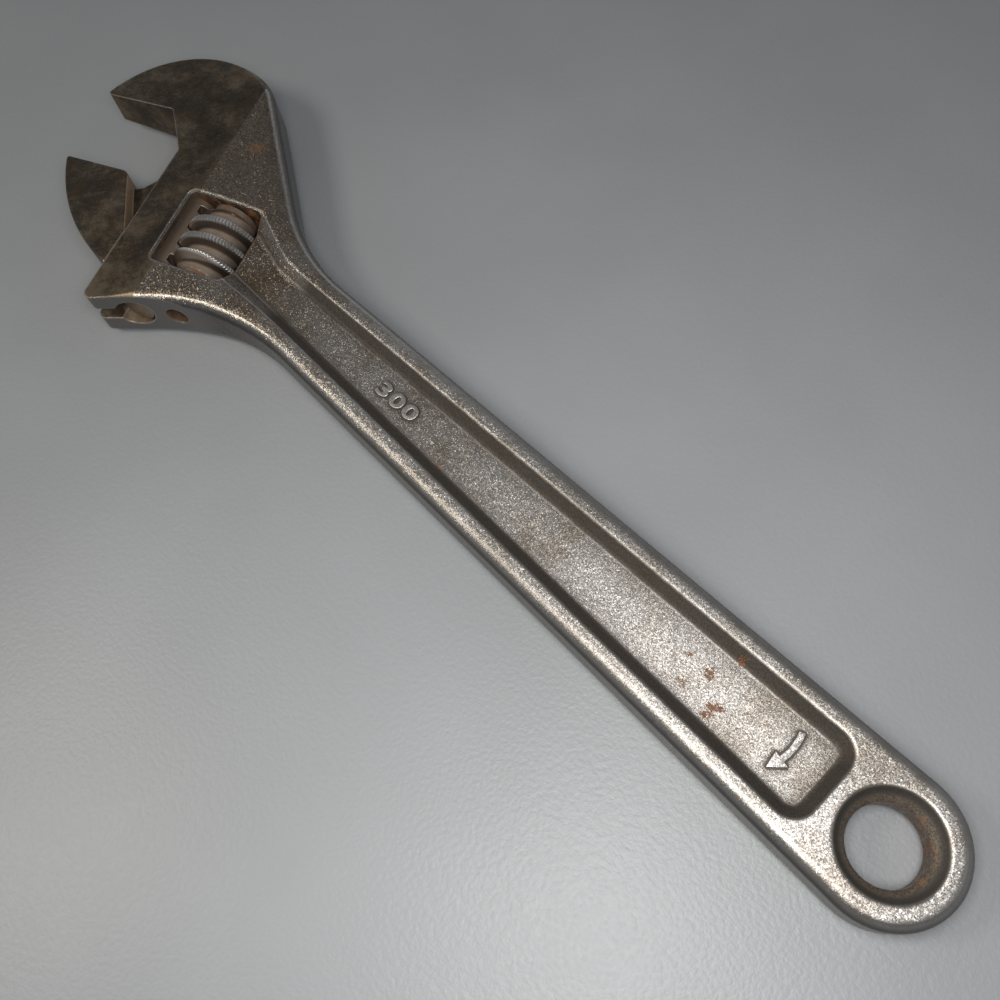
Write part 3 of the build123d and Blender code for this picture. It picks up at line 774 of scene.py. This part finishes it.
def make_knurl(finish):
    tree, inputs = thread_tree()
    blank = bpy.data.objects.new("knurl_blank", bpy.data.meshes.new("knurl_blank"))
    grid = blank.modifiers.new("thread", "NODES")
    grid.node_group = tree
    rows = ceil((knurl_length + thread_pitch) * rows_per_pitch / thread_pitch)
    sizes = {
        "Radius": knurl_radius, "Root": knurl_root, "Hub": knurl_hub, "Length": knurl_length,
        "Plain end": knurl_plain_end, "Pitch": thread_pitch, "Crest": thread_crest,
        "Flank": thread_flank, "First crest": thread_start, "Rounding": thread_rounding,
        "Teeth": float(grip_teeth), "Tooth depth": grip_tooth_depth, "Bore": knurl_bore,
        "Pocket": spring_pocket, "Pocket depth": spring_pocket_depth,
        "Rows per pitch": float(rows_per_pitch), "Columns": grip_teeth * columns_per_tooth,
        "Rows": rows, "Finish": finish,
    }
    for name, value in sizes.items():
        grid[inputs[name]] = value
    mesh = finished_mesh(blank)
    mesh.transform(head_place @ Matrix.Scale(MM, 4))
    faced_outward(mesh)
    mesh.shade_smooth()
    mesh.set_sharp_from_angle(angle=knurl_crease)
    knurl = piece("knurl_worm", mesh, "worm")
    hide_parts("knurl")


def raised_mark(name, curve, finish, fit):
    """A flat curve or text as a raised mark with soft edges, placed on the panel's floor."""
    curve.extrude = mark_rise / 2
    curve.bevel_depth = mark_rise * mark_edge
    curve.bevel_resolution = 3
    mesh = finished_mesh(bpy.data.objects.new(name, curve))
    mesh.transform(fit(mesh))
    mesh.transform(Matrix.Scale(MM, 4))
    faced_outward(mesh)
    mesh.materials.clear()
    mesh.materials.append(finish)
    mesh.shade_smooth()
    mesh.set_sharp_from_angle(angle=mark_crease)
    piece(name, mesh, "frame")


def make_number(finish):
    text = bpy.data.curves.new("size_number", "FONT")
    text.body = number_text
    text.size = number_height
    text.offset = number_weight
    text.space_character = number_spacing

    def fit(mesh):
        low = [min(corner.co[axis] for corner in mesh.vertices) for axis in (0, 1)]
        high = [max(corner.co[axis] for corner in mesh.vertices) for axis in (0, 1)]
        middle = Vector((low[0] + high[0], low[1] + high[1], 0)) / 2
        wider = number_width / (high[0] - low[0])
        taller = number_height / (high[1] - low[1])
        place = Matrix.Translation((*number_middle, panel_floor)) @ Matrix.Rotation(pi, 4, "Z")
        return place @ Matrix.Diagonal((wider, taller, 1, 1)) @ Matrix.Translation(-middle)

    raised_mark("size_number", text, finish, fit)


def make_arrow(finish):
    """Bowed arrow that points across the handle to the side that the jaw opens to."""
    sweep = arrow_neck - arrow_start
    shaft = [arrow_start + sweep * step / arrow_steps for step in range(arrow_steps + 1)]

    def on_bow(offset, angle):
        reach = arrow_radius + offset
        return (arrow_bow[0] - reach * cos(angle), arrow_bow[1] + reach * sin(angle))

    outline = [on_bow(arrow_half_width, angle) for angle in shaft]
    outline.append(on_bow(arrow_barb, arrow_neck))
    outline.append(on_bow(0, arrow_tip))
    outline.append(on_bow(-arrow_barb, arrow_neck))
    outline += [on_bow(-arrow_half_width, angle) for angle in reversed(shaft)]
    curve = bpy.data.curves.new("turn_arrow", "CURVE")
    curve.dimensions = "2D"
    curve.fill_mode = "BOTH"
    line = curve.splines.new("POLY")
    line.points.add(len(outline) - 1)
    for point, (x, y) in zip(line.points, outline):
        point.co = (x, y, 0, 1)
    line.use_cyclic_u = True
    raised_mark("turn_arrow", curve, finish, lambda mesh: Matrix.Translation((0, 0, panel_floor)))


def coat_nodes():
    finishes = {
        "body": forged_plate(), "sliding_jaw": ground_jaw(),
        "knurl_pin": rusty_pin(), "knurl_spring": drawn_wire(),
    }
    for name, finish in finishes.items():
        frame["nodes"][name].data.materials[0] = finish


def lay_bench():
    """Bench that the knurl and the handle's end rest on."""
    knurl_foot = Vector((knurl_middle.x, 0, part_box("knurl")[0].z))
    handle_foot = Vector((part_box("body")[0].x + bench_foot * MM, 0, -handle_top * MM))
    tilt = atan2(handle_foot.z - knurl_foot.z, knurl_foot.x - handle_foot.x)
    mesh = bpy.data.meshes.new("bench")
    square = ((-1, -1, 0), (1, -1, 0), (1, 1, 0), (-1, 1, 0))
    corners = [Vector(corner) * (bench_half * MM) for corner in square]
    mesh.from_pydata(corners, [], [(0, 1, 2, 3)])
    mesh.transform(Matrix.Translation(knurl_foot) @ Matrix.Rotation(tilt, 4, "Y"))
    mesh.materials.append(bench_top())
    bench = bpy.data.objects.new("bench", mesh)
    bpy.context.scene.collection.objects.link(bench)


def aimed(position, target, roll=0.0):
    """Place of a camera or lamp that looks from one point to another."""
    look = (target - position).to_track_quat("-Z", "Y").to_matrix().to_4x4()
    return Matrix.Translation(position) @ look @ Matrix.Rotation(roll, 4, "Z")


def set_camera():
    camera = bpy.data.cameras.new("camera")
    camera.sensor_width = sensor_width
    camera.lens = lens
    camera.clip_start = 0.01
    stand = bpy.data.objects.new("camera", camera)
    bpy.context.scene.collection.objects.link(stand)
    stand.matrix_world = aimed(Vector(eye) * MM, Vector(eye_target) * MM, eye_roll)
    bpy.context.scene.camera = stand


def hang_lamp(name, position, target, width, power, tint):
    lamp = bpy.data.lights.new(name, "AREA")
    lamp.shape = "DISK"
    lamp.size = width
    lamp.energy = power
    lamp.color = tint
    stand = bpy.data.objects.new(name, lamp)
    stand.matrix_world = aimed(Vector(position), Vector(target))
    stand.visible_camera = False
    bpy.context.scene.collection.objects.link(stand)


def light_studio():
    """Two lamps, and a room that is bright near the horizon and dim overhead."""
    for name, lamp in lamps.items():
        hang_lamp(name, *lamp)
    world = bpy.data.worlds.new("room")
    world.use_nodes = True
    tree = world.node_tree
    sky = tree.nodes["Background"]
    sky.inputs["Color"].default_value = (*room_tint, 1)
    apart = tree.nodes.new("ShaderNodeSeparateXYZ")
    tree.links.new(tree.nodes.new("ShaderNodeTexCoord").outputs["Generated"], apart.inputs[0])
    rise = tree.nodes.new("ShaderNodeMapRange")
    rise.interpolation_type = "SMOOTHSTEP"
    tree.links.new(apart.outputs[2], rise.inputs["Value"])
    for name, value in room_rise.items():
        rise.inputs[name].default_value = value
    tree.links.new(rise.outputs[0], sky.inputs["Strength"])
    bpy.context.scene.world = world
    bpy.context.scene.view_settings.view_transform = "Standard"


coat_nodes()
make_knurl(knurled_steel())
mark_finish = worn_plate()
make_number(mark_finish)
make_arrow(mark_finish)
lay_bench()
set_camera()
light_studio()
